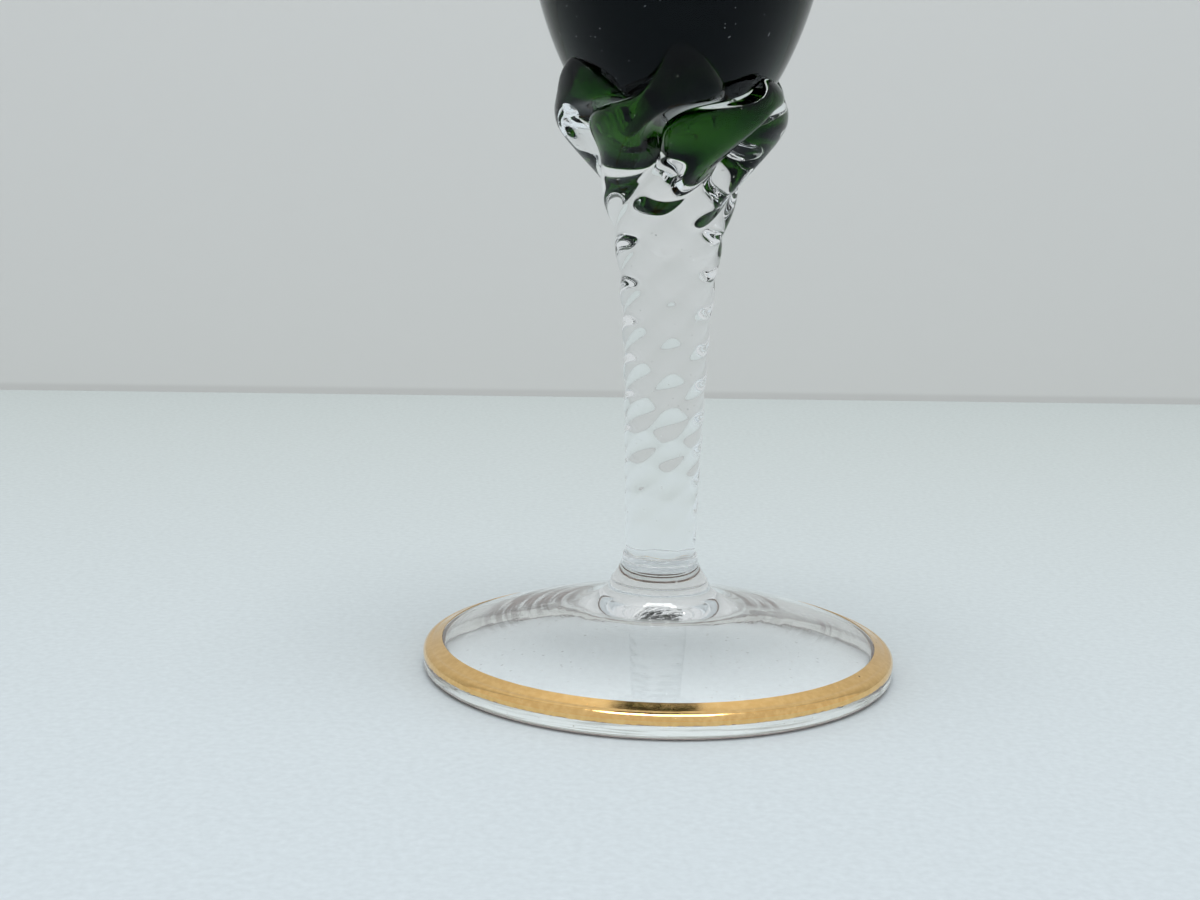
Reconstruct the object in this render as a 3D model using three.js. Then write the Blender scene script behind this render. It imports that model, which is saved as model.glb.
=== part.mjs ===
// A stemmed glass: a clear foot with a gilt edge, a collar, a stem with six twisted ribs, a calyx of six
// petals that the ribs run up into, and a dark green bowl with a gilt lip. Sizes are in millimetres,
// with +Z up and the origin at the middle of the ring that the foot stands on.
import * as THREE from 'three';

// Foot
const footRadius = 35;
const footEdgeHeight = 3.6; // height of the top face where the edge starts to round over
const footShoulderRound = 1.1;
const footHeelRound = 0.8;
const footSlope = 0.33; // fall of the top face towards the edge, per millimetre
const footBend = 0.0036; // the fall grows by twice this for each millimetre outwards
const footRimDrop = 0.64; // further fall at the edge
const footRimSpread = 4; // distance in which that fall dies out inwards
const footCrownHeight = 13.2; // height of the flat that carries the collar
const footCrownRadius = 7.2;
const footCrownSpread = 1.5; // distance in which the crown's flank falls to a third
const footRestWidth = 1.5; // width of the ring that touches the table
const footWall = 2.1; // thickness of the foot over its hollow underside
const footHollowRim = 3; // steepness of the hollow beside the ring that touches the table
const footHollowBlend = 0.3;

// Collar between foot and stem
const collarHeight = 4.1;
const collarRadius = 7.25;
const collarTopRadius = 5.55;
const collarBead = 0.2; // rounding of the collar's two rims
const collarSweepIn = 0.9; // share of the narrowing reached where the flank turns upwards
const collarSweepUp = 0.5; // share of the flank's height at that turn

// Stem: six ribs wound to the right
const stemLength = 48.7;
const stemWaistRadius = 5.2;
const stemTaper = 0.03; // widening per millimetre of height
const stemFlare = 1.95; // extra radius where the stem meets the calyx
const stemFlareLength = 7.93;
const ribCount = 6;
const ribDepth = 0.17;
const ribFadeLength = 26; // the ribs come up out of the plain lower end over this length
const ribGrooveRound = 0.3; // 0 is a sharp groove between ribs, 1 a shallow wave
const ribTurn = 11.1; // degrees of twist per millimetre along the stem
const ribTurnLow = 1.9; // further twist per millimetre near the foot
const ribTurnLowHeight = 20.7; // above the collar, the height where that twist fades out
const ribTurnLowSpan = 3;

// Calyx: the ribs spread into petals around the bottom of the bowl
const calyxBase = 9.5; // clear glass between the stem's end and the bottom of the bowl
const petalWall = 4.13; // clear glass over the bowl at a petal's ridge, at the height of the valleys
const petalBlend = 1.6; // softness of the turn from flare to upright petal
const petalLean = -0.34; // twist of an upright petal, degrees per millimetre
const petalTurnHeight = 9.37; // above the stem's end, where the twist is halfway to upright
const petalTurnSpan = 6.89;
const petalAzimuth = 12.1; // degrees from the front to the first petal's ridge, at the height below
const petalAzimuthHeight = 10.5; // above the bottom of the bowl
const petalOpenHeight = 9.24; // above the stem's end, where the ribs' section is halfway to the petals'
const petalOpenSpan = 0.85;
const petalGrooveRound = 0.05; // as for the ribs
const petalCrest = 0.6; // above 1 the petals' ridges are narrower than the grooves
const grooveWaist = 9.14; // radius at which the grooves between the petals stop widening
const grooveWaistBlend = 1.35;
const grooveWall = 0.6; // clear glass over the bowl in the grooves, which follow it higher up
const grooveWallBlend = 1.28;
const grooveLean = 16.8; // degrees by which the grooves lie left of the middle, at the height below
const grooveLeanHeight = 13.97; // above the stem's end
const grooveLeanSpan = 3.4;
const grooveReturn = 18.4; // degrees by which they come forward again below the petals' edge
const grooveReturnHeight = 7.4; // above the bottom of the bowl
const grooveReturnSpan = 0.4;
const petalValleyRise = 8.07; // above the bottom of the bowl
const petalTipRise = [15.2, 11.1, 12.6, 11.8, 13.0, 13.5]; // the same, for each petal to the right
const petalLip = 2.45; // height over which an edge rounds in to the bowl

// Bowl
const bowlRadius = 22.6;
const bowlBelly = 47.2; // from the bottom to the widest height
const bowlFullness = 2.08; // 2 is an ellipse, and more is a squarer curve
const bowlUpper = 22.3; // from the widest height to the lip
const bowlLipRadius = 20.8;
const bowlWall = 1.7;
const bowlBaseThickness = 1.1;

// Gilding
const giltThickness = 0.12;
const giltWidth = 2.7; // of the foot's band, on the top face
const giltWrap = 0.45; // how far that band runs down the side below the rounded shoulder
const lipGiltWidth = 2.4;
const lipGiltInside = 0.8;

// Clearances
const giltClearance = 0.02;
const bowlClearance = 0.2;

// Fineness of the faceted surfaces
const around = 48;
const stemSteps = 32;
const calyxSteps = 14;
const lipSteps = 3;
const cupSteps = 10;
const bowlSteps = 8;
const arcSteps = 3;
const flatSteps = 4;

// Heights that follow from the sizes above
const collarTop = footCrownHeight + collarHeight;
const stemTop = collarTop + stemLength;
const bowlBottom = stemTop + calyxBase;
const bowlWidest = bowlBottom + bowlBelly;
const bowlTop = bowlWidest + bowlUpper;

const degrees = Math.PI / 180;
const mix = (a, b, share) => a + (b - a) * share;
const clamp = (x) => Math.min(1, Math.max(0, x));
const spaced = (count) => Array.from({ length: count + 1 }, (_, i) => i / count);
const softStep = (x, span) => span * Math.log1p(Math.exp(x / span)); // 0 below, x above
const lesser = (a, b, blend) => a - softStep(a - b, blend); // the smaller of two, rounded
const greater = (a, b, blend) => b + softStep(a - b, blend); // the larger of two, rounded

// A point of a profile: its distance from the axis and its height.
const at = (radius, height) => new THREE.Vector2(radius, height);

// Points on an arc round a centre. Angle 0 points outwards and 90 degrees up.
function arc(centre, radius, from, to, steps = arcSteps) {
  return spaced(steps).map((share) => {
    const angle = mix(from, to, share) * degrees;
    return at(centre.x + radius * Math.cos(angle), centre.y + radius * Math.sin(angle));
  });
}

// A solid of revolution about +Z from a profile that runs anticlockwise, from the axis back to it.
function turned(profile) {
  return new THREE.LatheGeometry(profile, around).rotateX(Math.PI / 2);
}

// The path moved sideways by a distance, to its right as it runs.
function offset(path, distance) {
  return path.map((point, i) => {
    const before = path[Math.max(i - 1, 0)];
    const after = path[Math.min(i + 1, path.length - 1)];
    const along = after.clone().sub(before).normalize();
    return at(point.x + along.y * distance, point.y - along.x * distance);
  });
}

// A film on the outside of a turned surface: a closed ring along the path.
function film(path) {
  const under = offset(path, giltClearance).reverse();
  const face = offset(path, giltClearance + giltThickness);
  return turned([...face, ...under, face[0]]);
}

// A closed skin over rings of points. The first and last ring are single points on the axis.
function skin(rings) {
  const positions = rings.flat().flatMap((point) => [point.x, point.y, point.z]);
  const indices = [];
  const first = (row) => (row === 0 ? 0 : 1 + (row - 1) * around);
  for (let row = 0; row < rings.length - 1; row++) {
    for (let i = 0; i < around; i++) {
      const next = (i + 1) % around;
      const low = [i, next].map((k) => first(row) + (row === 0 ? 0 : k));
      const high = [i, next].map((k) => first(row + 1) + (row === rings.length - 2 ? 0 : k));
      if (row > 0) indices.push(low[0], low[1], high[0]);
      if (row < rings.length - 2) indices.push(low[row > 0 ? 1 : 0], high[1], high[0]);
    }
  }
  const geometry = new THREE.BufferGeometry();
  geometry.setAttribute('position', new THREE.Float32BufferAttribute(positions, 3));
  geometry.setIndex(indices);
  geometry.computeVertexNormals();
  return geometry;
}

// A point by its turn about the axis, in degrees from the front towards the right.
function around3d(radius, azimuth, height) {
  const angle = azimuth * degrees;
  return new THREE.Vector3(radius * Math.sin(angle), -radius * Math.cos(angle), height);
}

const axisPoint = (height) => new THREE.Vector3(0, 0, height);

// Azimuth of the first rib's crest at a height. The ribs wind evenly up the stem, a little faster near
// the foot, and straighten up in the petals.
function crestAzimuth(height) {
  const straight = petalLean * (bowlBottom + petalAzimuthHeight - height);
  const turning = softStep(stemTop + petalTurnHeight - height, petalTurnSpan);
  const low = softStep(collarTop + ribTurnLowHeight - height, ribTurnLowSpan);
  return petalAzimuth - straight - (ribTurn - petalLean) * turning - ribTurnLow * low;
}

// Azimuth of a point by its phase, in degrees from the first crest. In the calyx the grooves lie to the
// left of the middle between two crests, and swing to the right of it at the petals' edge.
function columnAzimuth(phase, height) {
  const bell = Math.exp(-(((height - stemTop - grooveLeanHeight) / grooveLeanSpan) ** 2));
  const forward = 1 / (1 + Math.exp((bowlBottom + grooveReturnHeight - height) / grooveReturnSpan));
  const shift = grooveReturn * forward - grooveLean * bell;
  return crestAzimuth(height) + phase + shift * Math.sin((phase * degrees * ribCount) / 2) ** 2;
}

// 1 on a rib's crest and 0 in the groove beside it.
function ribShape(phase, height) {
  const share = 1 / (1 + Math.exp((stemTop + petalOpenHeight - height) / petalOpenSpan));
  const wave = Math.cos((phase * degrees * ribCount) / 2) ** 2;
  const low = mix(ribGrooveRound, petalGrooveRound, share);
  const shape = (Math.sqrt(wave + low ** 2) - low) / (Math.sqrt(1 + low ** 2) - low);
  return shape ** mix(1, petalCrest, share);
}

// Radius over the crests of the stem: a taper and a flare.
function flaredRadius(height) {
  const taper = stemTaper * (height - collarTop);
  const flare = stemFlare * Math.exp((height - stemTop) / stemFlareLength);
  return stemWaistRadius + taper + flare;
}

// Radius of the bowl's belly and, a distance outside it, of the cup that holds it.
function bellyRadius(height, outside = 0) {
  const drop = clamp((bowlWidest - height) / (bowlBelly + outside));
  return (bowlRadius + outside) * (1 - drop ** bowlFullness) ** (1 / bowlFullness);
}

// The flare turns upright where the petals stand.
const petalRadius = bellyRadius(bowlBottom + petalValleyRise) + petalWall;
const crestRadius = (height) => lesser(flaredRadius(height), petalRadius, petalBlend);

// The grooves fade in above the collar and stop widening in the calyx. Higher up they follow the bowl.
function grooveRadius(height) {
  const fade = clamp((height - collarTop) / ribFadeLength);
  const shallow = flaredRadius(height) - ribDepth * fade * fade * (3 - 2 * fade);
  const waist = lesser(shallow, grooveWaist, grooveWaistBlend);
  return greater(waist, bellyRadius(height) + grooveWall, grooveWallBlend);
}

function ribbedRadius(phase, height) {
  return mix(grooveRadius(height), crestRadius(height), ribShape(phase, height));
}

// Height of the calyx's edge, which arches over each petal.
function edgeHeight(phase) {
  const pitch = 360 / ribCount;
  const petal = Math.round(phase / pitch);
  const tip = petalTipRise[petal % petalTipRise.length];
  const arch = (1 + Math.cos(phase * degrees * ribCount)) / 2;
  return bowlBottom + mix(petalValleyRise, tip, arch);
}

function calyxRadius(phase, height) {
  const intoLip = clamp((height - edgeHeight(phase) + petalLip) / petalLip);
  const cup = bellyRadius(height, bowlClearance);
  return cup + (ribbedRadius(phase, height) - cup) * Math.sqrt(1 - intoLip * intoLip);
}

// The foot's edge, from the gilding's inner line out over the shoulder and down to its lower line.
const shoulderStart = at(footRadius - footShoulderRound, footEdgeHeight);
const footCone = (radius) => {
  const inward = shoulderStart.x - radius;
  const fall = footSlope * inward - footBend * inward * inward;
  return footEdgeHeight + fall + footRimDrop * (1 - Math.exp(-inward / footRimSpread));
};
const footTop = (radius) => {
  const rise = footCrownHeight - footCone(footCrownRadius);
  return footCone(radius) + rise * Math.exp((footCrownRadius - radius) / footCrownSpread);
};
const shoulderCentre = at(shoulderStart.x, footEdgeHeight - footShoulderRound);
const giltInner = footRadius - giltWidth;
const giltPath = [
  at(footRadius, shoulderCentre.y - giltWrap),
  ...arc(shoulderCentre, footShoulderRound, 0, 90),
  at(giltInner, footTop(giltInner)),
];

function footGeometry() {
  const restRadius = footRadius - footHeelRound;
  const hollowRadius = restRadius - footRestWidth;
  const underside = spaced(3 * flatSteps).map((share) => {
    const radius = hollowRadius * (1 - (1 - share) ** 2);
    const rim = (hollowRadius - radius) * footHollowRim;
    return at(radius, Math.max(0, lesser(footCone(radius) - footWall, rim, footHollowBlend)));
  });
  const heel = arc(at(restRadius, footHeelRound), footHeelRound, -90, 0);
  const crown = spaced(2 * flatSteps).slice(1).map((share) => {
    const radius = footCrownRadius + (giltInner - footCrownRadius) * (1 - share) ** 2;
    return at(radius, footTop(radius));
  });
  return turned([...underside, ...heel, ...giltPath, ...crown, at(0, footCrownHeight)]);
}

function collarGeometry() {
  const low = at(collarRadius - collarBead, footCrownHeight + collarBead);
  const high = at(collarTopRadius - collarBead, collarTop - collarBead);
  const flank = new THREE.QuadraticBezierCurve(
    at(collarRadius, low.y),
    at(mix(collarRadius, collarTopRadius, collarSweepIn), mix(low.y, high.y, collarSweepUp)),
    at(collarTopRadius, high.y),
  );
  return turned([
    at(0, footCrownHeight),
    ...arc(low, collarBead, -90, 0),
    ...flank.getPoints(arcSteps).slice(1, -1),
    ...arc(high, collarBead, 0, 90),
    at(0, collarTop),
  ]);
}

const phases = spaced(around).slice(0, around).map((share) => share * 360);

const ribbedRing = (height) =>
  phases.map((phase) => around3d(ribbedRadius(phase, height), columnAzimuth(phase, height), height));

function stemGeometry() {
  const rings = spaced(stemSteps).map((share) => ribbedRing(mix(collarTop, stemTop, share)));
  return skin([[axisPoint(collarTop)], ...rings, [axisPoint(stemTop)]]);
}

// The outside rises from the stem to the petals' edge, and the inside goes down round the bowl.
function calyxGeometry() {
  const wallRing = (share) =>
    phases.map((phase) => {
      const height = mix(stemTop, edgeHeight(phase) - petalLip, share);
      return around3d(calyxRadius(phase, height), columnAzimuth(phase, height), height);
    });
  const lipRing = (share) =>
    phases.map((phase) => {
      const height = edgeHeight(phase) - petalLip * (1 - Math.sin(share * 90 * degrees));
      return around3d(calyxRadius(phase, height), columnAzimuth(phase, height), height);
    });
  const cupRing = (share) =>
    phases.map((phase) => {
      const edge = edgeHeight(phase);
      const depth = bowlBelly + bowlClearance;
      const angle = Math.acos(((bowlWidest - edge) / depth) ** (bowlFullness / 2)) * (1 - share);
      const height = bowlWidest - depth * Math.cos(angle) ** (2 / bowlFullness);
      return around3d(bellyRadius(height, bowlClearance), columnAzimuth(phase, edge), height);
    });
  return skin([
    [axisPoint(stemTop)],
    ...spaced(calyxSteps).map(wallRing),
    ...spaced(lipSteps).slice(1).map(lipRing),
    ...spaced(cupSteps).slice(1, -1).map(cupRing),
    [axisPoint(bowlBottom - bowlClearance)],
  ]);
}

// Radius of the bowl's outside above its widest height.
const upperRadius = (height) =>
  bowlRadius - (bowlRadius - bowlLipRadius) * ((height - bowlWidest) / bowlUpper) ** 2;

const lipRound = bowlWall / 2;
const lipGiltLow = bowlTop - lipGiltWidth;
const lipCentre = at(upperRadius(bowlTop - lipRound) - lipRound, bowlTop - lipRound);
const lipInnerLow = at(lipCentre.x - lipRound, lipCentre.y - lipGiltInside);
const lipPath = [
  at(upperRadius(lipGiltLow), lipGiltLow),
  ...arc(lipCentre, lipRound, 0, 180, arcSteps + 1),
  lipInnerLow,
];

function bowlGeometry() {
  const upperHeights = spaced(flatSteps).map((share) => mix(bowlWidest, lipGiltLow, share));
  const belly = (radius, depth) =>
    spaced(bowlSteps).map((share) => {
      const angle = share * 90 * degrees;
      const drop = Math.max(0, Math.cos(angle)) ** (2 / bowlFullness);
      return at(radius * Math.sin(angle) ** (2 / bowlFullness), bowlWidest - depth * drop);
    });
  const outside = belly(bowlRadius, bowlBelly);
  const upper = upperHeights.slice(1, -1).map((height) => at(upperRadius(height), height));
  const inside = belly(bowlRadius - bowlWall, bowlBelly - bowlBaseThickness).reverse();
  const upperInside = upper.map((point) => at(point.x - bowlWall, point.y)).reverse();
  return turned([...outside, ...upper, ...lipPath, ...upperInside, ...inside]);
}

function glass(colour, opacity) {
  return { color: colour, roughness: 0.04, metalness: 0, transparent: true, opacity };
}
const clearGlass = glass(0xdde6e4, 0.4);
const greenGlass = glass(0x0a2614, 0.92);
const gilt = { color: 0xd9ab5c, roughness: 0.22, metalness: 1 };

const stemmedGlass = new THREE.Group();
const pieces = [
  ['foot', footGeometry(), clearGlass],
  ['foot_gilt_band', film(giltPath), gilt],
  ['collar', collarGeometry(), clearGlass],
  ['stem', stemGeometry(), clearGlass],
  ['calyx', calyxGeometry(), clearGlass],
  ['bowl', bowlGeometry(), greenGlass],
  ['lip_gilt_band', film(lipPath), gilt],
];
for (const [name, geometry, finish] of pieces) {
  const mesh = new THREE.Mesh(geometry, new THREE.MeshStandardMaterial(finish));
  mesh.name = name;
  stemmedGlass.add(mesh);
}

export default stemmedGlass;
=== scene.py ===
"""A stemmed glass: a clear foot with a gilt edge, a collar, a stem with six twisted ribs, a calyx of
petals and a dark green bowl. All sizes are in metres, in the frame of the CAD part."""

import math

import bpy
import numpy as np
from mathutils import Matrix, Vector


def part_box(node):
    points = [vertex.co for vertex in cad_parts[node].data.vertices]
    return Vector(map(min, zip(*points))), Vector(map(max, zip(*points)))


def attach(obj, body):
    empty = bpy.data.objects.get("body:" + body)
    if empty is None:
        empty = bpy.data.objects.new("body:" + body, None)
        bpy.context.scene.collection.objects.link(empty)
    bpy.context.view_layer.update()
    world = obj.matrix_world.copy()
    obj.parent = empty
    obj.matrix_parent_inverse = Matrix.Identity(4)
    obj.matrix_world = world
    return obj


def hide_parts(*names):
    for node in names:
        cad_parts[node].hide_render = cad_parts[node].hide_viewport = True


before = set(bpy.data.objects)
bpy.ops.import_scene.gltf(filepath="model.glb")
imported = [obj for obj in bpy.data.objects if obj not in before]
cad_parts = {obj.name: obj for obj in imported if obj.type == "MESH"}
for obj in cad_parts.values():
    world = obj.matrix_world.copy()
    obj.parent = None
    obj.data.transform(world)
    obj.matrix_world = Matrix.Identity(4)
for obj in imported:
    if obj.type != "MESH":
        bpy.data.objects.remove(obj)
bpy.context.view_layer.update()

MM = 0.001
NEAR = 0.001 * MM

# Heights and radii that the pieces share, from the frame
COLLAR_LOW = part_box("collar")[0].z
COLLAR_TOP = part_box("collar")[1].z
STEM_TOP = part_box("stem")[1].z
BOWL_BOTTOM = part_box("bowl")[0].z
BOWL_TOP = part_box("bowl")[1].z
FOOT_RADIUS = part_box("foot")[1].x
BOWL_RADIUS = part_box("bowl")[1].x

# Foot: its edge, the fall of its top face, its crown and its hollow underside
FOOT_EDGE_HEIGHT = 3.6 * MM
FOOT_SHOULDER = 1.1 * MM
FOOT_HEEL = 0.8 * MM
FOOT_SLOPE = 0.33
FOOT_BEND = 0.0036 / MM
FOOT_RIM_DROP = 0.64 * MM
FOOT_RIM_SPREAD = 4 * MM
CROWN_RADIUS = 7.2 * MM
CROWN_SPREAD = 1.5 * MM
REST_WIDTH = 1.5 * MM
HOLLOW_RADIUS = FOOT_RADIUS - FOOT_HEEL - REST_WIDTH
FOOT_WALL = 2.1 * MM
FOOT_HOLLOW_BLEND = 0.3 * MM
FOOT_HOLLOW_RIM = 3.0
FOOT_COLUMNS = 256
FOOT_FACE_STEPS = 90
FOOT_CROWDING = 1.6
SHOULDER_STEPS = 16
HEEL_STEPS = 12

# Collar
COLLAR_RADIUS = 7.25 * MM
COLLAR_TOP_RADIUS = 5.55 * MM
COLLAR_BEAD = 0.2 * MM
COLLAR_SWEEP_IN = 0.9
COLLAR_SWEEP_UP = 0.5
COLLAR_COLUMNS = 192
BEAD_STEPS = 12
FLANK_STEPS = 24

# Stem and its ribs
STEM_WAIST = 5.2 * MM
STEM_TAPER = 0.03
STEM_FLARE = 1.95 * MM
STEM_FLARE_LENGTH = 7.93 * MM
RIBS = 6
RIB_DEPTH = 0.17 * MM
RIB_FADE = 26 * MM
RIB_GROOVE_ROUND = 0.3
RIB_TURN = math.radians(11.1) / MM
RIB_TURN_LOW = math.radians(1.9) / MM
RIB_TURN_LOW_HEIGHT = 20.7 * MM
RIB_TURN_LOW_SPAN = 3 * MM
STEM_COLUMNS = 192
STEM_STEPS = 420

# Calyx, whose petals rise from a reference height
CALYX_REF = 76.5 * MM
PETAL_RADIUS = 17.25 * MM
PETAL_GROOVE_ROUND = 0.05
PETAL_OPEN_HEIGHT = 9.24 * MM
PETAL_OPEN_SPAN = 0.85 * MM
PETAL_CREST = 0.6
GROOVE_LEAN = math.radians(16.8)
GROOVE_LEAN_HEIGHT = 79.97 * MM
GROOVE_LEAN_SPAN = 3.4 * MM
GROOVE_RETURN = math.radians(18.4)
GROOVE_RETURN_HEIGHT = 82.9 * MM
GROOVE_RETURN_SPAN = 0.4 * MM
GROOVE_RADIUS = 9.14 * MM
GROOVE_BLEND = 1.35 * MM
VALLEY_WALL = 0.6 * MM
VALLEY_BLEND = 1.28 * MM
VALLEY_RISE = 7.07 * MM
PETAL_BLEND = 1.6 * MM
PETAL_LEAN = math.radians(-0.34) / MM
PETAL_TURN_HEIGHT = 9.37 * MM
PETAL_TURN_SPAN = 6.89 * MM
PETAL_AZIMUTH = math.radians(12.1)
PETAL_AZIMUTH_HEIGHT = 9.5 * MM
TIP_RISE = np.array([14.2, 10.1, 11.6, 10.8, 12.0, 12.5]) * MM
PETAL_LIP = 2.45 * MM
CUP_SKIN = 0.005 * MM
PETAL_COLUMNS = 288
PETAL_WALL_STEPS = 90
PETAL_LIP_STEPS = 30
CUP_STEPS = 60

# Bowl, a superellipse up to its widest height
BOWL_LIP_RADIUS = 20.8 * MM
BOWL_WALL = 1.7 * MM
BOWL_BASE = 1.1 * MM
BOWL_GAP = 0.04 * MM
BOWL_WIDEST = 122.7 * MM
BOWL_FULLNESS = 2.08
BOWL_BELLY = BOWL_WIDEST - BOWL_BOTTOM
BASE_STEPS = 40
BELLY_STEPS = 60
UPPER_STEPS = 20
INSIDE_STEPS = 70

# Gilding of the foot and of the lip
GILT_WIDTH = 2.7 * MM
GILT_WRAP = 0.45 * MM
GILT_LOW = FOOT_EDGE_HEIGHT - FOOT_SHOULDER - GILT_WRAP
GILT_LIFT = 0.02 * MM
GILT_THICKNESS = 0.08 * MM
LIP_GILT_WIDTH = 2.4 * MM
LIP_GILT_INSIDE = 0.8 * MM
GILT_TOP_STEPS = 8
LIP_WALL_STEPS = 8
LIP_ROUND_STEPS = 20
LIP_HIDDEN_ROWS = 2
FILM_COLUMNS = 384

# Slots of a piece's materials after its first: the joint, the foot's two, and the bowl's outside
JOINT_SLOT = 1
GILT_BACK_SLOT = 2
SIDE_SLOT = 3
DARK_SLOT = 2
SHARP_CORNER = math.radians(50)

# Clear glass. The turns are how often light is thrown back inside it before it is let out
GLASS_IOR = 1.5
CLEAR_TINT = (0.985, 0.99, 0.988)
CALYX_GLOSS = (0.3, 0.33, 0.36)
LAMP_PASS = 0.7
STEM_TURNS = 3.5
STEM_DUST = 0.5
DUST_COLOUR = (0.62, 0.6, 0.56)

# Glass of the foot and collar, with the threads in the foot's top and side, a painted reflection of the
# gold's back in its top and a painted contact shadow low on its side. Here and below, a pair of values
# is where a change starts and where it ends
FOOT_CLARITY = 0.99
FOOT_GLOSS = (1, 1, 1)
FOOT_LAMP_PASS = 0.85
FOOT_TURNS = 2.5
FOOT_DUST = 0.8
FOOT_STREAKS = 0.05
SIDE_STREAKS = 0.3
# Painted reflection of the gold's back: its brown, laid on the foot's top glass where it is seen at a low
# angle
PAINTED_GILT_REFLECTION = (0.12, 0.065, 0.055)
REFLECTION_SHIFT = (0.031, 0.017, 0.0)
REFLECTION_INSIDE = (11 * MM, 14 * MM)
REFLECTION_OUTSIDE = (29 * MM, 24 * MM)
REFLECTION_THREADS = (0.4, 0.56)
REFLECTION_PATCHES = (0.42, 0.52)
REFLECTION_FACING = (0.62, 0.8)
SIDE_TINT = (0.95, 0.94, 0.88)
SIDE_THREAD = (0.5, 0.48, 0.42)
# Painted contact shadow: a thin brown line low on the foot's side, where it meets the table
PAINTED_CONTACT_SHADOW = (0.55, 0.42, 0.38)
SIDE_THREADS = (0.48, 0.66)
CONTACT_SHADOW_TOP = (0.5 * MM, 0.25 * MM)

# Green glass: the colour that it leaves of light on its way through, the colours of its surface inside,
# clear at the bottom and darkened above by painted shade, and its dark outside with dust and hairlines
GREEN_TINT = (0.27, 0.55, 0.008)
GREEN_DENSITY = 1600.0
GREEN_BELOW = (1, 1, 1)
GREEN_PAINTED_SHADE = (0.12, 0.15, 0.13)
GREEN_SHADE_HEIGHTS = (BOWL_BOTTOM + 8 * MM, BOWL_BOTTOM + 20 * MM)
DARK_GREEN = (0.12, 0.13, 0.14)
DARK_DUST = 0.5
DARK_DUST_COLOUR = (0.5, 0.52, 0.55)
GREEN_GLOSS = (0.22, 0.25, 0.28)
HAIRLINE_TURNS = (0.5, 1.3, 2.4)

# Gold, its ragged lower edge and its back
GOLD_LOW = (0.86, 0.53, 0.2)
GOLD_HIGH = (0.95, 0.62, 0.26)
GOLD_CLOUDS = (0.35, 0.7)
GOLD_ROUGH = (0.08, 0.2)
GOLD_POLISH = (0.12, 0.4)
GOLD_RAGGED = 0.5 * MM
GOLD_ENDS = (GILT_LOW + 0.36 * MM, GILT_LOW + 0.28 * MM)
BACK_LOW = (0.33, 0.22, 0.18)
BACK_HIGH = (0.46, 0.34, 0.29)
BACK_CLOUDS = (0.35, 0.65)
BACK_ROUGH = 0.45

# Specks and scratches: how soft a speck's edge is, and how it is turned and drawn out into a hairline
SPECK_EDGE = 0.5
SPECK_CHOICE = 0.02
HAIRLINE_AXIS = (0.3, 1.0, 0.2)
HAIRLINE_STRETCH = (0.08, 1.0, 1.0)

# Camera of the photo, whose view is 1200 by 900 pixels
CAMERA_PLACE = (0.0, -262.1 * MM, 79.2 * MM)
CAMERA_PITCH = math.radians(10.09)
CAMERA_ROLL = math.radians(1.25)
CAMERA_YAW = math.radians(-2.03)
CAMERA_LENS = 54.0
SENSOR_WIDTH = 36.0
CLIP_NEAR = 0.01
CLIP_FAR = 20

# Floor and backdrop
PAPER_ROUGH = 0.8
FLOOR_DROP = 0.1 * MM
FLOOR_REACH = 3.0
# Painted light: the floor is brighter and bluer in front of the glass, duller behind it
FLOOR_PAINTED_LIGHT_FRONT = (0.6, 0.655, 0.69)
FLOOR_PAINTED_SHADE_BACK = (0.57, 0.615, 0.61)
FLOOR_LIGHT_CHANGES = (-150 * MM, 250 * MM)
GRAIN_DEPTH = 0.2
BACKDROP_DISTANCE = 276 * MM
BACKDROP_TURN = 0.1
BACKDROP_HALF_WIDTH = 1.2
BACKDROP_TOP = 1.0
BACKDROP = (0.7, 0.7, 0.69)
# Painted shade: the backdrop is darker at its foot, along its join with the floor
BACKDROP_PAINTED_SHADE = (0.62, 0.615, 0.605)
BACKDROP_SHADE_HEIGHTS = (2.6 * MM, 1.2 * MM)

# Light
STUDIO_COLOUR = (0.86, 0.9, 0.92)
STUDIO_STRENGTH = 0.75
LAMP_SIZE = (0.5, 0.35)
LAMP_ENERGY = 4.2
LAMP_PLACE = (0.02, -0.1, 0.9)
LAMP_TILT = (-6, 1, 0)


def soft_step(x, span):
    """0 well below zero and x well above it, with a rounded turn: span times log(1 + e^(x / span))."""
    return span * np.logaddexp(0, x / span)


def lesser(a, b, blend):
    """The smaller of two, with a rounded turn: a less the soft step of a - b."""
    return a - soft_step(a - b, blend)


def arc(centre, radius, start, end, steps):
    """Points on an arc, from angle start to end in degrees, 0 outwards and 90 up."""
    angle = np.radians(np.linspace(start, end, steps))
    return np.stack([centre[0] + radius * np.cos(angle), centre[1] + radius * np.sin(angle)], 1)


def phases(columns):
    """Angles spread evenly round the axis."""
    return np.linspace(0, 2 * math.pi, columns, endpoint=False)


def polar(radius, azimuth, height):
    """Points from radius, azimuth and height. Azimuth turns from the front towards the right."""
    radius, azimuth, height = np.broadcast_arrays(radius, azimuth, height)
    return np.stack([radius * np.sin(azimuth), -radius * np.cos(azimuth), height], -1)


def make_mesh(name, points, quads, caps):
    """A mesh object from points, four-sided faces and the closing caps' triangles, smooth all over."""
    faces = [*quads.tolist(), *caps.tolist()]
    mesh = bpy.data.meshes.new(name)
    mesh.from_pydata(points.tolist(), [], faces)
    mesh.polygons.foreach_set("use_smooth", np.ones(len(faces), bool))
    mesh.set_sharp_from_angle(angle=SHARP_CORNER)
    piece = bpy.data.objects.new(name, mesh)
    bpy.context.scene.collection.objects.link(piece)
    return piece


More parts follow.
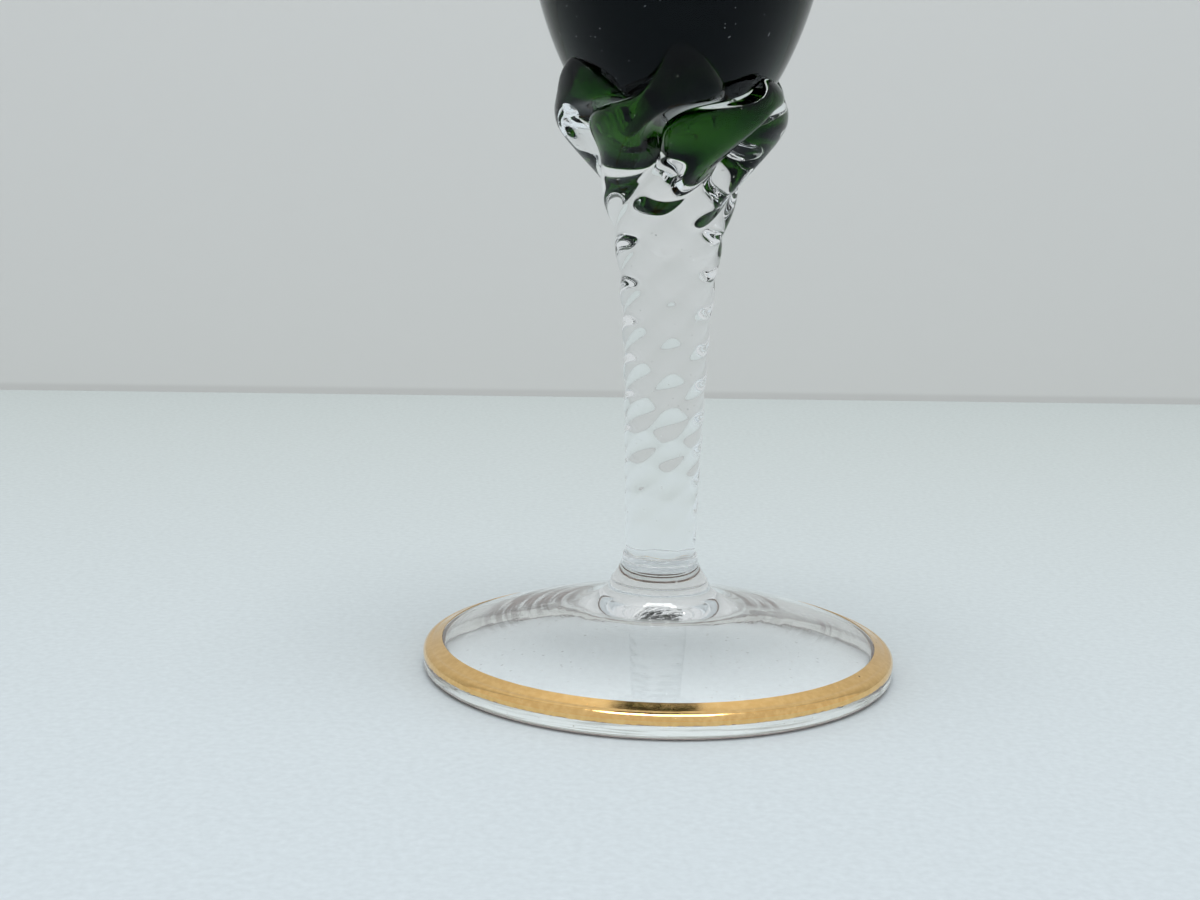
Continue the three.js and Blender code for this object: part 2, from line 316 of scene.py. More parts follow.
def grid_skin(name, rings, low_pole=None, high_pole=None, ring_closes=False):
    """A closed skin over rings of points, rings[row, column], each ring closed on itself. Poles are
    single points that close the ends. With ring_closes the last ring joins the first."""
    rows, columns = rings.shape[:2]
    index = np.arange(rows * columns).reshape(rows, columns)
    if ring_closes:
        index = np.vstack([index, index[:1]])
    after = np.roll(index, -1, axis=1)
    quads = np.stack([index[:-1], after[:-1], after[1:], index[1:]], -1).reshape(-1, 4)
    points = rings.reshape(-1, 3)
    caps = [np.zeros((0, 3), int)]
    for pole, ring in ((low_pole, (after[0], index[0])), (high_pole, (index[-1], after[-1]))):
        if pole is not None:
            caps.append(np.stack([np.full(columns, len(points)), *ring], -1))
            points = np.vstack([points, pole])
    return make_mesh(name, points, quads, np.vstack(caps))


def turned(name, profile, columns, closed=False):
    """A solid of revolution about the axis: each point of the profile becomes a ring. A profile on the
    axis at both ends is closed there by poles; a closed profile joins its end to its start."""
    azimuth = phases(columns)
    if closed:
        return grid_skin(name, polar(profile[:, :1], azimuth, profile[:, 1:]), ring_closes=True)
    inner = profile[1:-1]
    poles = [(0, 0, profile[0, 1]), (0, 0, profile[-1, 1])]
    return grid_skin(name, polar(inner[:, :1], azimuth, inner[:, 1:]), *poles)


def crest_azimuth(height):
    """Azimuth of the first rib's crest: an even turn up the stem, a little faster near the foot, that
    straightens up in the petals. Each change of rate is a soft step of height."""
    straight = PETAL_LEAN * (CALYX_REF + PETAL_AZIMUTH_HEIGHT - height)
    turning = soft_step(STEM_TOP + PETAL_TURN_HEIGHT - height, PETAL_TURN_SPAN)
    low = soft_step(COLLAR_TOP + RIB_TURN_LOW_HEIGHT - height, RIB_TURN_LOW_SPAN)
    return PETAL_AZIMUTH - straight - (RIB_TURN - PETAL_LEAN) * turning - RIB_TURN_LOW * low


def column_azimuth(phase, height):
    """Azimuth of a point by its phase from the first crest. The grooves lie back to the left of the
    middle between two crests, most at one height, by a bell curve of height, and come forward again
    by a logistic step below the petals' edge. Both fade to the crests by a squared sine of phase."""
    bell = np.exp(-(((height - GROOVE_LEAN_HEIGHT) / GROOVE_LEAN_SPAN) ** 2))
    forward = 1 / (1 + np.exp((GROOVE_RETURN_HEIGHT - height) / GROOVE_RETURN_SPAN))
    shift = GROOVE_RETURN * forward - GROOVE_LEAN * bell
    return crest_azimuth(height) + phase + shift * np.sin(phase * RIBS / 2) ** 2


def petal_share(height):
    """0 in the stem and 1 in the petals: a logistic step of height."""
    return 1 / (1 + np.exp((STEM_TOP + PETAL_OPEN_HEIGHT - height) / PETAL_OPEN_SPAN))


def rib_shape(phase, height):
    """1 on a rib's crest and 0 in the groove: the rectified cosine of three times the phase, with its
    cusp rounded by adding a square under the root, a large one in the stem and a small one in the
    petals. In the petals a power below one also fills the crests out."""
    share = petal_share(height)
    wave = np.cos(phase * RIBS / 2) ** 2
    low = RIB_GROOVE_ROUND + (PETAL_GROOVE_ROUND - RIB_GROOVE_ROUND) * share
    high = np.sqrt(1 + low**2)
    return ((np.sqrt(wave + low**2) - low) / (high - low)) ** (1 + (PETAL_CREST - 1) * share)


def flared_radius(height):
    """Radius over the stem's crests: a straight taper and an exponential flare at the top."""
    flare = STEM_FLARE * np.exp((height - STEM_TOP) / STEM_FLARE_LENGTH)
    return STEM_WAIST + STEM_TAPER * (height - COLLAR_TOP) + flare


def cup_radius(height):
    """Radius of the cup that holds the bowl: a superellipse a gap outside the bowl's own."""
    drop = np.clip((BOWL_WIDEST - height) / (BOWL_BELLY + BOWL_GAP), 0, 1)
    return (BOWL_RADIUS + BOWL_GAP) * np.clip(1 - drop**BOWL_FULLNESS, 0, 1) ** (1 / BOWL_FULLNESS)


def groove_radius(height):
    """Radius in the grooves: a shallow depth, faded in above the collar by a cubic step, below the
    crests, until the grooves stop widening. Higher up they follow the bowl, with a wall of clear glass
    over it. The turns between these are rounded by soft steps."""
    fade = np.clip((height - COLLAR_TOP) / RIB_FADE, 0, 1)
    shallow = flared_radius(height) - RIB_DEPTH * fade**2 * (3 - 2 * fade)
    waist = lesser(shallow, GROOVE_RADIUS, GROOVE_BLEND)
    over_bowl = cup_radius(height) + VALLEY_WALL
    return over_bowl + soft_step(waist - over_bowl, VALLEY_BLEND)


def ribbed_radius(phase, height):
    """Radius of the ribbed surface: a blend by the rib's shape of the crest's and the groove's radius."""
    crest = lesser(flared_radius(height), PETAL_RADIUS, PETAL_BLEND)
    groove = groove_radius(height)
    return groove + (crest - groove) * rib_shape(phase, height)


def edge_height(phase):
    """Height of the calyx's edge: a raised cosine from the valley up to each petal's own tip."""
    petal = np.round(phase / (2 * math.pi / RIBS)).astype(int) % len(TIP_RISE)
    arch = (1 + np.cos(phase * RIBS)) / 2
    return CALYX_REF + VALLEY_RISE + (TIP_RISE[petal] - VALLEY_RISE) * arch


def calyx_radius(phase, height):
    """The ribbed radius, drawn in to the bowl over the lip by a quarter ellipse."""
    into_lip = np.clip((height - edge_height(phase) + PETAL_LIP) / PETAL_LIP, 0, 1)
    cup = cup_radius(height)
    return cup + (ribbed_radius(phase, height) - cup) * np.sqrt(1 - into_lip**2)


def foot_cone(radius):
    """Height of the foot's top face without its crown: a parabola that falls more steeply towards the
    edge, with a little more fall at the edge by an exponential."""
    inward = FOOT_RADIUS - FOOT_SHOULDER - radius
    fall = FOOT_SLOPE * inward - FOOT_BEND * inward**2
    return FOOT_EDGE_HEIGHT + fall + FOOT_RIM_DROP * (1 - np.exp(-inward / FOOT_RIM_SPREAD))


def foot_top(radius):
    """Height of the foot's top face: the cone, and an exponential rise at the crown."""
    rise = COLLAR_LOW - foot_cone(CROWN_RADIUS)
    return foot_cone(radius) + rise * np.exp((CROWN_RADIUS - radius) / CROWN_SPREAD)


def foot_under(radius):
    """Height of the hollow underside: a wall's thickness below the cone, or if it is lower a steep
    straight fall to the rest ring, with a rounded turn between them."""
    rim = (HOLLOW_RADIUS - radius) * FOOT_HOLLOW_RIM
    return np.maximum(0, lesser(foot_cone(radius) - FOOT_WALL, rim, FOOT_HOLLOW_BLEND))


def gilt_path():
    """The foot's edge under the gilding: up the side, over the shoulder on an arc and in to the
    gilding's line."""
    centre = (FOOT_RADIUS - FOOT_SHOULDER, FOOT_EDGE_HEIGHT - FOOT_SHOULDER)
    side = np.array([[FOOT_RADIUS, centre[1] - GILT_WRAP * share] for share in (1, 0.5)])
    radius = np.linspace(centre[0], FOOT_RADIUS - GILT_WIDTH, GILT_TOP_STEPS)[1:]
    top = np.stack([radius, foot_top(radius)], 1)
    return np.vstack([side, arc(centre, FOOT_SHOULDER, 0, 90, SHOULDER_STEPS), top])


def upper_radius(height):
    """Radius of the bowl above its widest height: a parabola that closes in to the lip."""
    rise = (height - BOWL_WIDEST) / (BOWL_TOP - BOWL_WIDEST)
    return BOWL_RADIUS - (BOWL_RADIUS - BOWL_LIP_RADIUS) * rise**2


def lip_path():
    """The bowl's lip: the outer wall from the gilding's line up, a half round, and down inside."""
    half = BOWL_WALL / 2
    height = np.linspace(BOWL_TOP - LIP_GILT_WIDTH, BOWL_TOP - half, LIP_WALL_STEPS)[:-1]
    outer = np.stack([upper_radius(height), height], 1)
    centre = (upper_radius(BOWL_TOP - half) - half, BOWL_TOP - half)
    inner = np.array([[centre[0] - half, centre[1] - LIP_GILT_INSIDE * share] for share in (0.5, 1)])
    return np.vstack([outer, arc(centre, half, 0, 180, LIP_ROUND_STEPS), inner])


def offset(path, distance):
    """The path moved to its right by a distance, along the normal of its neighbours' chord."""
    along = np.gradient(path, axis=0)
    along /= np.linalg.norm(along, axis=1, keepdims=True)
    return path + distance * np.stack([along[:, 1], -along[:, 0]], 1)


def film(name, path):
    """A thin closed ring on a turned surface: the path lifted a little, and again by its thickness."""
    under = offset(path, GILT_LIFT)[::-1]
    face = offset(path, GILT_LIFT + GILT_THICKNESS)
    return turned(name, np.vstack([face, under]), FILM_COLUMNS, closed=True)


def foot_piece():
    """The foot: underside, heel, gilded edge, the top face up the crown, and the joint on its top. The
    top's points crowd towards the crown by a power."""
    hollow = HOLLOW_RADIUS * np.linspace(0, 1, FOOT_FACE_STEPS)
    underside = np.stack([hollow, foot_under(hollow)], 1)
    heel = arc((FOOT_RADIUS - FOOT_HEEL, FOOT_HEEL), FOOT_HEEL, -90, 0, HEEL_STEPS)
    share = (1 - np.linspace(0, 1, FOOT_FACE_STEPS)[1:]) ** FOOT_CROWDING
    radius = CROWN_RADIUS + (FOOT_RADIUS - GILT_WIDTH - CROWN_RADIUS) * share
    crown = np.stack([radius, foot_top(radius)], 1)
    profile = np.vstack([underside, heel, gilt_path(), crown, [[0, COLLAR_LOW]]])
    return turned("foot_glass", profile, FOOT_COLUMNS)


def collar_piece():
    """The collar: a bead, a hollow flank on a quadratic curve and a second bead, with a joint above
    and below."""
    low = (COLLAR_RADIUS - COLLAR_BEAD, COLLAR_LOW + COLLAR_BEAD)
    high = (COLLAR_TOP_RADIUS - COLLAR_BEAD, COLLAR_TOP - COLLAR_BEAD)
    turn_radius = COLLAR_RADIUS + (COLLAR_TOP_RADIUS - COLLAR_RADIUS) * COLLAR_SWEEP_IN
    turn_height = low[1] + (high[1] - low[1]) * COLLAR_SWEEP_UP
    ends = np.array([[COLLAR_RADIUS, low[1]], [turn_radius, turn_height], [COLLAR_TOP_RADIUS, high[1]]])
    t = np.linspace(0, 1, FLANK_STEPS)[1:-1, None]
    flank = (1 - t) ** 2 * ends[0] + 2 * t * (1 - t) * ends[1] + t**2 * ends[2]
    profile = np.vstack([
        [[0, COLLAR_LOW]],
        arc(low, COLLAR_BEAD, -90, 0, BEAD_STEPS),
        flank,
        arc(high, COLLAR_BEAD, 0, 90, BEAD_STEPS),
        [[0, COLLAR_TOP]],
    ])
    return turned("collar_glass", profile, COLLAR_COLUMNS)


def stem_piece():
    """The stem: rings of the ribbed surface, each turned with the ribs, so that a column of points
    keeps to its place on a rib."""
    phase = phases(STEM_COLUMNS)
    height = np.linspace(COLLAR_TOP, STEM_TOP, STEM_STEPS)[:, None]
    rings = polar(ribbed_radius(phase, height), column_azimuth(phase, height), height)
    return grid_skin("stem_glass", rings, (0, 0, COLLAR_TOP), (0, 0, STEM_TOP))


def belly_rings(edge, azimuth, share, gap):
    """Rings of the bowl's belly, a gap outside it, from the bottom at share 0 to the edge at share 1.
    The angle from the bottom runs evenly, and both the radius and the drop are powers of its sine and
    cosine, so that the curve is a superellipse."""
    drop = (BOWL_WIDEST - edge) / (BOWL_BELLY + gap)
    angle = np.arccos(drop ** (BOWL_FULLNESS / 2)) * share
    radius = (BOWL_RADIUS + gap) * np.sin(angle) ** (2 / BOWL_FULLNESS)
    height = BOWL_WIDEST - (BOWL_BELLY + gap) * np.cos(angle) ** (2 / BOWL_FULLNESS)
    return polar(radius, azimuth, height)


def calyx_piece():
    """The calyx: its outside rises from the stem to the petals' edge, and its inside goes down round
    the bowl."""
    phase = phases(PETAL_COLUMNS)
    edge = edge_height(phase)
    wall_share = np.linspace(0, 1, PETAL_WALL_STEPS)[:, None]
    wall = STEM_TOP + (edge - PETAL_LIP - STEM_TOP) * wall_share
    lip_share = np.linspace(0, 1, PETAL_LIP_STEPS)[1:, None]
    lip = edge - PETAL_LIP * (1 - np.sin(lip_share * math.pi / 2))
    outside = np.vstack([wall, lip])
    rings = polar(calyx_radius(phase, outside), column_azimuth(phase, outside), outside)
    cup_share = np.linspace(0, 1, CUP_STEPS)[1:-1, None]
    cup = belly_rings(edge, column_azimuth(phase, edge), 1 - cup_share, BOWL_GAP)
    poles = [(0, 0, STEM_TOP), (0, 0, BOWL_BOTTOM - BOWL_GAP)]
    return grid_skin("calyx_glass", np.concatenate([rings, cup]), *poles)


def bowl_piece():
    """The bowl: the buried base up to the calyx's edge, the open outside, the lip and the inside. The
    rings between base and outside follow the calyx's edge, so that the two surfaces part there. Belly
    and inside are superellipses, with powers of the sine and cosine of an angle from the bottom."""
    phase = phases(PETAL_COLUMNS)
    edge = edge_height(phase)
    azimuth = column_azimuth(phase, edge)
    buried = belly_rings(edge, azimuth, np.linspace(0, 1, BASE_STEPS)[1:, None], 0)
    rise = np.linspace(0, 1, BELLY_STEPS)[1:, None]
    edge_angle = np.arccos(((BOWL_WIDEST - edge) / BOWL_BELLY) ** (BOWL_FULLNESS / 2))
    open_angle = edge_angle + (math.pi / 2 - edge_angle) * rise
    open_wall = polar(
        BOWL_RADIUS * np.sin(open_angle) ** (2 / BOWL_FULLNESS),
        azimuth,
        BOWL_WIDEST - BOWL_BELLY * np.clip(np.cos(open_angle), 0, 1) ** (2 / BOWL_FULLNESS),
    )
    height = np.linspace(BOWL_WIDEST, BOWL_TOP - LIP_GILT_WIDTH, UPPER_STEPS)[1:-1]
    upper = np.stack([upper_radius(height), height], 1)
    angle = np.linspace(math.pi / 2, 0, INSIDE_STEPS)
    inside = np.stack([
        (BOWL_RADIUS - BOWL_WALL) * np.sin(angle) ** (2 / BOWL_FULLNESS),
        BOWL_WIDEST - (BOWL_BELLY - BOWL_BASE) * np.clip(np.cos(angle), 0, 1) ** (2 / BOWL_FULLNESS),
    ], 1)[:-1]
    profile = np.vstack([upper, lip_path(), (upper - [BOWL_WALL, 0])[::-1], inside])
    rest = polar(profile[:, :1], azimuth, profile[:, 1:])
    rings = np.concatenate([buried, open_wall, rest])
    poles = [(0, 0, BOWL_BOTTOM), (0, 0, BOWL_BOTTOM + BOWL_BASE)]
    bowl = grid_skin("bowl_glass", rings, *poles)
    outside_rows = len(buried) + len(open_wall) + len(upper) + LIP_HIDDEN_ROWS
    mark_bowl(bowl, len(buried) - 1, outside_rows)
    return bowl


def mark_bowl(bowl, joint_rows, outside_rows):
    """Gives slots to the bowl's faces, row by row from the bottom: the joint up to the calyx's edge and
    the cap below it, then the dark outside, which ends under the lip's gilding. The last two rings of
    faces are the two caps, the lower one first."""
    slot = np.zeros(len(bowl.data.polygons), np.int32)
    slot[: outside_rows * PETAL_COLUMNS] = DARK_SLOT
    slot[: joint_rows * PETAL_COLUMNS] = JOINT_SLOT
    slot[-2 * PETAL_COLUMNS : -PETAL_COLUMNS] = JOINT_SLOT
    bowl.data.polygons.foreach_set("material_index", slot)


def mark(piece, new_slot, test):
    """Gives a slot to the faces whose centres pass a test of their radius and height."""
    polygons = piece.data.polygons
    centre = np.empty(len(polygons) * 3, np.float32)
    slot = np.empty(len(polygons), np.int32)
    polygons.foreach_get("center", centre)
    polygons.foreach_get("material_index", slot)
    x, y, z = centre.reshape(-1, 3).T.astype(float)
    slot[test(np.hypot(x, y), z)] = new_slot
    polygons.foreach_set("material_index", slot)


class Nodes:
    """A short way to build a material's node tree."""

    def __init__(self, name):
        self.material = bpy.data.materials.new(name)
        self.material.use_nodes = True
        self.tree = self.material.node_tree
        self.tree.nodes.clear()
        self.output = self.add("ShaderNodeOutputMaterial")

    def add(self, kind, inputs=None, **settings):
        """A new node. Each input takes a value, or a link where it is given another node's socket."""
        node = self.tree.nodes.new(kind)
        for name, value in settings.items():
            setattr(node, name, value)
        for name, value in (inputs or {}).items():
            if isinstance(value, bpy.types.NodeSocket):
                self.tree.links.new(value, node.inputs[name])
            else:
                node.inputs[name].default_value = value
        return node

    def place(self):
        """The point's own coordinates on the object."""
        return self.add("ShaderNodeTexCoord").outputs["Object"]

    def parts(self):
        """The place's X, Y and Z, by name."""
        return self.add("ShaderNodeSeparateXYZ", {"Vector": self.place()}).outputs

    def math(self, operation, a, b):
        return self.add("ShaderNodeMath", {0: a, 1: b}, operation=operation).outputs["Value"]

    def vector_math(self, operation, a, b):
        return self.add("ShaderNodeVectorMath", {0: a, 1: b}, operation=operation).outputs["Vector"]

    def combine(self, x, y):
        return self.add("ShaderNodeCombineXYZ", {"X": x, "Y": y}).outputs["Vector"]

    def noise(self, place, scale, detail):
        """A cloudy value about 0.5."""
        inputs = {"Vector": place, "Scale": scale, "Detail": detail}
        return self.add("ShaderNodeTexNoise", inputs).outputs["Fac"]

    def step(self, value, start, end):
        """0 at the start value and 1 at the end value, smooth between them."""
        node = self.add("ShaderNodeMapRange", {"Value": value}, interpolation_type="SMOOTHSTEP")
        low, high, out = (start, end, (0, 1)) if start < end else (end, start, (1, 0))
        node.inputs["From Min"].default_value = low
        node.inputs["From Max"].default_value = high
        node.inputs["To Min"].default_value = out[0]
        node.inputs["To Max"].default_value = out[1]
        return node.outputs["Result"]

    def blend(self, share, first, second):
        """A colour between two, each of which is a colour or another node's socket."""
        first, second = (c if isinstance(c, bpy.types.NodeSocket) else (*c, 1) for c in (first, second))
        return self.add("ShaderNodeMix", {"Factor": share, 6: first, 7: second}, data_type="RGBA").outputs[2]

    def colour(self, tint):
        """A value for a colour input, from a colour or from a function that makes it with nodes."""
        return tint(self) if callable(tint) else (*tint, 1)

    def bump(self, height, strength, distance, normal=None):
        """A normal that height tilts, from another bump's normal if one is given."""
        inputs = {"Height": height, "Strength": strength, "Distance": distance}
        if normal is not None:
            inputs["Normal"] = normal
        return self.add("ShaderNodeBump", inputs).outputs["Normal"]

    def principled(self, **inputs):
        """The main shader. Its inputs are named as on the node, with _ for a space."""
        named = {name.replace("_", " "): value for name, value in inputs.items()}
        return self.add("ShaderNodeBsdfPrincipled", named).outputs["BSDF"]

    def matt(self, colour):
        return self.add("ShaderNodeBsdfDiffuse", {"Color": (*colour, 1)}).outputs["BSDF"]

    def transparent(self, share=1.0):
        return self.add("ShaderNodeBsdfTransparent", {"Color": (share, share, share, 1)}).outputs["BSDF"]

    def mix(self, share, first, second):
        """A shader between two."""
        return self.add("ShaderNodeMixShader", {"Fac": share, 1: first, 2: second}).outputs["Shader"]

    def surface(self, socket):
        self.tree.links.new(socket, self.output.inputs["Surface"])

    def absorb(self, colour, density):
        """Glass that takes light on its way through: the volume of the material."""
        inside = self.add("ShaderNodeVolumeAbsorption", {"Color": (*colour, 1), "Density": density})
        self.tree.links.new(inside.outputs["Volume"], self.output.inputs["Volume"])


def from_axis(n):
    """The place with its height taken out, its distance from the axis, and its height."""
    part = n.parts()
    flat = n.combine(part["X"], part["Y"])
    radius = n.add("ShaderNodeVectorMath", {0: flat}, operation="LENGTH").outputs["Value"]
    return flat, radius, part["Z"]


def threads(n, around, across, detail=2.0):
    """Noise that is drawn out round the axis: its place is the distance from the axis and the height at
    the fine scale across, plus the place itself at the coarse scale around."""
    flat, radius, height = from_axis(n)
    fine = n.combine(n.math("MULTIPLY", radius, across), n.math("MULTIPLY", height, across))
    coarse = n.vector_math("MULTIPLY", flat, (around, around, around))
    return n.noise(n.vector_math("ADD", fine, coarse), 1.0, detail)


def specks(n, place, scale, size, share):
    """1 on small round specks: the middle of some of the cells of a Voronoi pattern."""
    cells = n.add("ShaderNodeTexVoronoi", {"Vector": place, "Scale": scale})
    near = n.step(cells.outputs["Distance"], size, size * SPECK_EDGE)
    pick = n.add("ShaderNodeSeparateColor", {"Color": cells.outputs["Color"]})
    kept = n.step(pick.outputs["Red"], 1 - share, 1 - share + SPECK_CHOICE)
    return n.math("MULTIPLY", near, kept)


def scratches(n, place, turn, scale, size, share):
    """1 on short straight hairlines: specks that are stretched along one direction."""
    aligned = n.add("ShaderNodeVectorRotate", {"Vector": place, "Axis": HAIRLINE_AXIS, "Angle": turn})
    drawn_out = n.vector_math("MULTIPLY", aligned.outputs["Vector"], HAIRLINE_STRETCH)
    return specks(n, drawn_out, scale, size, share)


def let_lamps_through(n, shader, share):
    """Lets a share of the lamps' light straight through, since glass spreads it too thinly."""
    to_lamp = n.add("ShaderNodeLightPath").outputs["Is Shadow Ray"]
    return n.mix(to_lamp, shader, n.transparent(share))


def let_out(n, shader, turns):
    """Lets light out of the glass once it has been thrown back inside it some times, since it is
    otherwise given up as lost, and the glass goes black."""
    so_far = n.add("ShaderNodeLightPath").outputs["Glossy Depth"]
    return n.mix(n.math("GREATER_THAN", so_far, turns), shader, n.transparent())


def top_colour_and_reflection(n):
    """Colour of the foot's top glass: clear, with a painted reflection of the gold's back as brown-mauve
    threads round the axis in a few patches. They come up only where the glass is seen at a low angle, in
    place of the gold's back showing through it."""
    patch = n.noise(n.vector_math("ADD", n.place(), REFLECTION_SHIFT), scale=50.0, detail=1.0)
    thread = threads(n, around=60.0, across=1100.0)
    radius = from_axis(n)[1]
    ring = n.math("MULTIPLY", n.step(radius, *REFLECTION_INSIDE), n.step(radius, *REFLECTION_OUTSIDE))
    facing = n.add("ShaderNodeLayerWeight").outputs["Facing"]
    share = n.math("MULTIPLY", n.step(thread, *REFLECTION_THREADS), n.step(patch, *REFLECTION_PATCHES))
    share = n.math("MULTIPLY", n.math("MULTIPLY", share, ring), n.step(facing, *REFLECTION_FACING))
    return n.blend(share, CLEAR_TINT, PAINTED_GILT_REFLECTION)


def side_colour_and_shadow(n):
    """Colour of the foot's side glass: faint olive with dark threads round it, and a thin brown painted
    contact shadow where it meets the table."""
    thread = threads(n, around=90.0, across=2600.0)
    olive = n.blend(n.step(thread, *SIDE_THREADS), SIDE_TINT, SIDE_THREAD)
    return n.blend(n.step(n.parts()["Z"], *CONTACT_SHADOW_TOP), olive, PAINTED_CONTACT_SHADOW)


def clear_glass(name, tint, gloss, clarity, dust, streaks, lamp_pass, turns):
    """Clear glass with a slow waviness, pulling streaks round the axis, and dust and fine pits. The
    tint is a colour, or a function that makes one from the material's nodes."""
    n = Nodes(name)
    place = n.place()
    wavy = n.bump(n.noise(place, scale=180.0, detail=2.0), strength=0.12, distance=0.1 * MM)
    streaked = n.bump(threads(n, around=25.0, across=1500.0), streaks, 0.1 * MM, wavy)
    pits = specks(n, place, scale=700.0, size=0.14, share=0.3)
    glass = n.principled(
        Base_Color=n.colour(tint),
        Roughness=0.0,
        IOR=GLASS_IOR,
        Transmission_Weight=clarity,
        Specular_Tint=(*gloss, 1),
        Normal=n.bump(pits, strength=0.5, distance=-0.03 * MM, normal=streaked),
    )
    mote = n.math("MULTIPLY", specks(n, place, scale=1600.0, size=0.16, share=0.08), dust)
    dusty = n.mix(mote, glass, n.matt(DUST_COLOUR))
    n.surface(let_lamps_through(n, let_out(n, dusty, turns), lamp_pass))
    return n.material


def stem_glass():
    """The clear glass of stem and calyx, with a soft gloss."""
    return clear_glass("clear_glass", CLEAR_TINT, CALYX_GLOSS, clarity=1.0, dust=STEM_DUST, streaks=0.0,
                       lamp_pass=LAMP_PASS, turns=STEM_TURNS)


def foot_glass(name, tint, streaks=FOOT_STREAKS):
    """The clear glass of foot and collar, with its full gloss and more dust."""
    return clear_glass(name, tint, FOOT_GLOSS, clarity=FOOT_CLARITY, dust=FOOT_DUST, streaks=streaks,
                       lamp_pass=FOOT_LAMP_PASS, turns=FOOT_TURNS)


def inside_painted_shade(n):
    """Colour of the bowl's inside: clear at the bottom, and darkened above by painted shade."""
    return n.blend(n.step(n.parts()["Z"], *GREEN_SHADE_HEIGHTS), GREEN_BELOW, GREEN_PAINTED_SHADE)


def green_glass(name, tint, dust=0.0):
    """Green glass, green by its volume, with a surface colour from the tint: on the bowl's inside clear at
    the bottom and darkened above by painted shade. It can have dust, specks and hairline scratches. The tint
    is a colour, or a function that makes one."""
    n = Nodes(name)
    glass = n.principled(
        Base_Color=n.colour(tint),
        Roughness=0.0,
        IOR=GLASS_IOR,
        Transmission_Weight=1.0,
        Specular_Tint=(*GREEN_GLOSS, 1),
    )
    if dust:
        place = n.place()
        mote = specks(n, place, scale=1500.0, size=0.15, share=0.06)
        for turn in HAIRLINE_TURNS:
            hairline = scratches(n, place, turn, scale=1500.0, size=0.1, share=0.16)
            mote = n.math("MAXIMUM", mote, hairline)
        glass = n.mix(n.math("MULTIPLY", mote, dust), glass, n.matt(DARK_DUST_COLOUR))
    n.surface(glass)
    n.absorb(GREEN_TINT, GREEN_DENSITY)
    return n.material


def green_joint():
    """The bowl's side of its fused joint with the calyx: no surface, only the green within."""
    n = Nodes("green_joint")
    n.surface(n.transparent())
    n.absorb(GREEN_TINT, GREEN_DENSITY)
    return n.material


def clear_joint():
    """A fused joint between two clear pieces: no surface."""
    n = Nodes("clear_joint")
    n.surface(n.transparent())
    return n.material


def gilt():
    """Burnished gold leaf: streaks round the band, a patchy polish, fine scratches, a ragged lower edge
    and small bare spots where it is worn off."""
    n = Nodes("gilt")
    place = n.place()
    streak = threads(n, around=30.0, across=3200.0, detail=3.0)
    cloud = n.noise(place, scale=1100.0, detail=5.0)
    rough = n.add("ShaderNodeMapRange", {
        "Value": n.math("MULTIPLY", streak, cloud),
        "From Min": GOLD_POLISH[0], "From Max": GOLD_POLISH[1],
        "To Min": GOLD_ROUGH[0], "To Max": GOLD_ROUGH[1],
    })
    hair = scratches(n, place, turn=0.9, scale=1800.0, size=0.1, share=0.3)
    streaked = n.bump(streak, strength=0.12, distance=0.03 * MM)
    gold = n.principled(
        Base_Color=n.blend(n.step(cloud, *GOLD_CLOUDS), GOLD_LOW, GOLD_HIGH),
        Metallic=1.0,
        Roughness=rough.outputs["Result"],
        Normal=n.bump(hair, strength=0.5, distance=-0.03 * MM, normal=streaked),
    )
    ragged = n.math("ADD", n.parts()["Z"], n.math("MULTIPLY", cloud, GOLD_RAGGED))
    worn = specks(n, place, scale=700.0, size=0.14, share=0.05)
    bare = n.math("MAXIMUM", n.step(ragged, *GOLD_ENDS), worn)
    n.surface(n.mix(bare, gold, n.transparent()))
    return n.material


def gilt_back():
    """The back of the gold, brown and dull where it is seen through the foot."""
    n = Nodes("gilt_back")
    cloud = n.noise(n.place(), scale=500.0, detail=4.0)
    colour = n.blend(n.step(cloud, *BACK_CLOUDS), BACK_LOW, BACK_HIGH)
    n.surface(n.principled(Base_Color=colour, Roughness=BACK_ROUGH))
    return n.material


def finish_piece(piece, node, slot, *materials):
    """Gives a piece its materials in the order of their slots, hangs it under the root and hides its node's
    CAD part.
    """
    for material in materials:
        piece.data.materials.append(material)
    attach(piece, "root")
    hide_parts(node)


